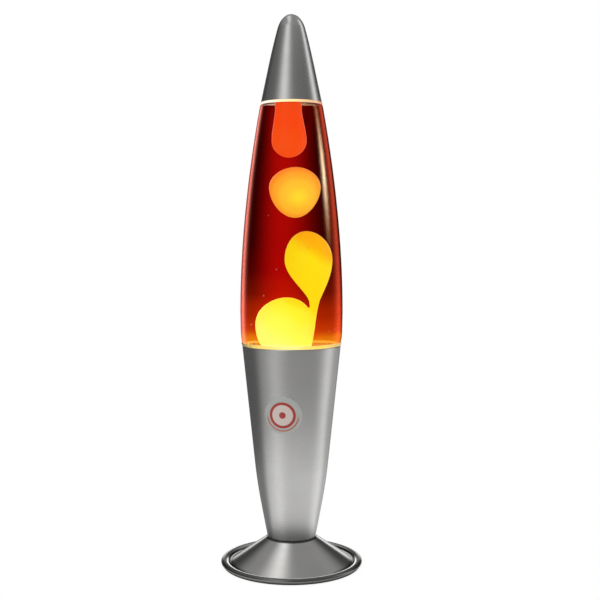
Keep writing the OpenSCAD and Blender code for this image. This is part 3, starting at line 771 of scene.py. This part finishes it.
def make_sticker():
    """A round film that follows the wall of the base, with a softly raised edge."""
    gap, film, sides, rings = 0.1, 0.15, 96, 18
    lean = (BASE_TOP_R - BEND_R) / (BASE_TOP_Z - BEND_Z)
    points, faces = [], []

    def on_wall(reach, a, lift):
        """A point at a reach and an angle from the sticker's middle, lifted off the wall."""
        z = STICKER_Z + reach * math.sin(a)
        wall = BEND_R + (z - BEND_Z) * lean + lift
        turn = math.radians(STICKER_TURN) + math.asin(reach * math.cos(a) / wall)
        return wall * math.sin(turn), -wall * math.cos(turn), z

    rows = [(STICKER_R * k / rings, gap + film) for k in range(1, rings)]
    rows += [(STICKER_R - 0.05, gap + film), (STICKER_R, gap + film / 2), (STICKER_R, gap)]
    rows += [(STICKER_R * k / rings, gap) for k in range(rings - 1, 0, -1)]
    for reach, lift in rows:
        points += [on_wall(reach, 2 * math.pi * i / sides, lift) for i in range(sides)]
    points += [on_wall(0, 0, gap + film), on_wall(0, 0, gap)]
    last = (len(rows) - 1) * sides
    for i in range(sides):
        j = (i + 1) % sides
        for k in range(len(rows) - 1):
            faces.append((k * sides + i, k * sides + j, (k + 1) * sides + j, (k + 1) * sides + i))
        faces.append((len(points) - 2, i, j))
        faces.append((len(points) - 1, last + j, last + i))
    stands_for(from_faces("sticker_round", points, faces, 60), "sticker", "base", "sticker_film")


# ---- Studio

def keep_out_of_mirrors():
    """The metal and the glass mirror only the studio, not each other or the wax."""
    for piece in bpy.context.scene.objects:
        if piece.type == "MESH" and piece.name != "floor":
            piece.visible_glossy = False


def make_camera():
    """A long lens at the height of the wax mound, looking slightly down."""
    lens = bpy.data.cameras.new("camera")
    lens.lens = 63
    lens.sensor_width = 36
    lens.clip_start, lens.clip_end = 0.01, 20
    camera = bpy.data.objects.new("camera", lens)
    camera.location = (0.00634, -0.78305, 0.24736)
    camera.rotation_euler = (math.radians(90 - 3.488), 0, 0)
    bpy.context.scene.collection.objects.link(camera)
    bpy.context.scene.camera = camera


def room_below(graph, turn, aside, level):
    """What the metal mirrors below the horizon: a pale front, a dark back, panels left and right."""
    front = graph.math("ADD", 0.32, graph.times(graph.fade(aside, 102, 74), 0.68))
    left_panel = graph.times(graph.bell(turn, -42, 20), 0.24)
    right_panel = graph.times(graph.bell(turn, 101, 19), 0.82)
    right_fill = graph.times(graph.bell(turn, 142, 22), 0.36)
    return graph.total(graph.times(front, level), left_panel, right_panel, right_fill)


def bearing(graph, x, y):
    """The direction of (x, y) round the lamp in degrees, 0 at the front and rising to the right; and
    how far round that is on either side."""
    turn = graph.times(graph.math("ARCTAN2", x, graph.times(y, -1.0)), 180 / math.pi)
    return turn, graph.math("ABSOLUTE", turn)


def make_world():
    """A studio that differs by kind of ray. The camera sees white and matt surfaces see pale grey. Metal
    mirrors a dim room with soft panels, and glass shows a dark red room with a few bright strips.
    Directions are in degrees: turn is round the lamp, and rise is above the horizon."""
    world = bpy.data.worlds.new("studio")
    bpy.context.scene.world = world
    world.use_nodes = True
    sky = Graph(world.node_tree)
    x, y, z = sky.xyz(sky.add("TexCoord", output="Generated"))
    turn, aside = bearing(sky, x, y)
    rise = sky.times(sky.math("ARCSINE", z), 180 / math.pi)

    standing = sky.fade(rise, 58, 42)
    left_panel = sky.times(sky.bell(turn, -31, 22), standing, 0.84)
    right_panel = sky.times(sky.bell(turn, 108, 12), standing, 1.15)
    ceiling = sky.fade(rise, 24, 46, 0.14, 0.34)
    dark_back = sky.times(sky.fade(aside, 112, 135), sky.fade(rise, 36, 18))
    ceiling = sky.times(ceiling, sky.math("SUBTRACT", 1.0, sky.times(dark_back, 0.55)))
    lamp = sky.times(sky.bell(x, -0.225, 0.145), sky.fade(y, 0.5, 0.3), sky.fade(rise, 50, 62), 0.85)
    backlight = sky.times(sky.fade(aside, 158, 168), sky.bell(rise, 6, 6), 1.9)
    above = sky.total(ceiling, left_panel, right_panel, lamp, backlight)
    below = room_below(sky, turn, aside, 0.37)
    level = sky.mix(sky.fade(rise, 2, -11), sky.grey(above), sky.grey(below))

    strip = sky.bell(turn, 100, 7.5)
    bright = sky.times(strip, sky.bell(rise, 13, 3.8))
    faint = sky.times(strip, sky.fade(rise, 2.5, 8), sky.fade(rise, 40, 24))
    glint = sky.mix(bright, (0.004, 0.002, 0.002), (15.0, 12.5, 8.0))
    glint = sky.mix(1.0, glint, sky.mix(faint, BLACK, (4.0, 1.4, 0.5)), "ADD")
    glint = sky.mix(sky.fade(turn, -138, -152), glint, (0.6, 0.15, 0.12))

    glow = sky.bell(sky.math("ABSOLUTE", sky.math("ADD", turn, 4)), 180, 13.5)
    uneven = sky.ramp(sky.fade(rise, -5, 8), [
        (0.20, (0.5, 0.5, 0.5)), (0.254, (0.17, 0.17, 0.17)), (0.308, (0.30, 0.30, 0.30))])
    through = sky.mix(sky.times(glow, uneven), DARK_RED, (1.30, 0.013, 0.009))
    through = sky.mix(sky.bell(turn, 131, 7), through, (2.3, 0.85, 0.80))
    through = sky.mix(sky.bell(turn, -135, 9), through, (1.0, 0.16, 0.085))

    path = sky.tree.nodes.new("ShaderNodeLightPath")
    inside = sky.fade(path.outputs["Transmission Depth"], 0.2, 0.8)
    glint = sky.mix(inside, glint, (0.01, 0.0003, 0.0002))
    seen = sky.mix(path.outputs["Is Diffuse Ray"], level, (0.85, 0.85, 0.85))
    seen = sky.mix(path.outputs["Is Singular Ray"], seen, glint)
    seen = sky.mix(path.outputs["Is Transmission Ray"], seen, through)
    seen = sky.mix(path.outputs["Is Camera Ray"], seen, WHITE)
    light = sky.add("Background", {"Color": seen, "Strength": 1.0})
    out = sky.tree.nodes.new("ShaderNodeOutputWorld")
    sky.put(out.inputs["Surface"], light)


def make_floor():
    """A round table top: white to the camera, with a faint shadow where the lamp stands. In mirrors it
    goes on from the dim room, darker near the lamp, and through the glass it is dark red."""
    reach = 0.34
    edge, top, under = reach / MM, -0.2, -0.4
    floor = lathe("floor", [(0, under), (edge, under), (edge, top), (0, top)], 96)
    made = Finish("floor")
    radius = made.radius()
    turn, aside = bearing(made, made.x, made.y)
    near = made.fade(radius, 48 * MM, 75 * MM, 0.12, 1.0)
    glare = room_below(made, turn, aside, made.fade(radius, 0.2, reach, 0.78, 0.44))
    glare = made.times(glare, near)
    shade = made.add("AmbientOcclusion", {"Distance": 0.006}, output="AO", samples=8)
    white = made.fade(shade, 0.1, 0.8, 0.90, 1.0)
    path = made.tree.nodes.new("ShaderNodeLightPath")
    level = made.mix(path.outputs["Is Camera Ray"], made.grey(glare), made.grey(white))
    level = made.mix(path.outputs["Is Transmission Ray"], level, (0.02, 0.001, 0.001))
    made.put(made.out.inputs["Surface"], made.add("Emission", {"Color": level, "Strength": 1.0}))
    floor.data.materials.append(made.material)


make_camera()
dress_cad_nodes()
make_foot()
make_base()
make_seat_ring()
make_globe()
make_wax()
make_bubbles()
make_cap()
make_sticker()
make_world()
make_floor()
keep_out_of_mirrors()
bpy.context.scene.view_settings.view_transform = "Standard"
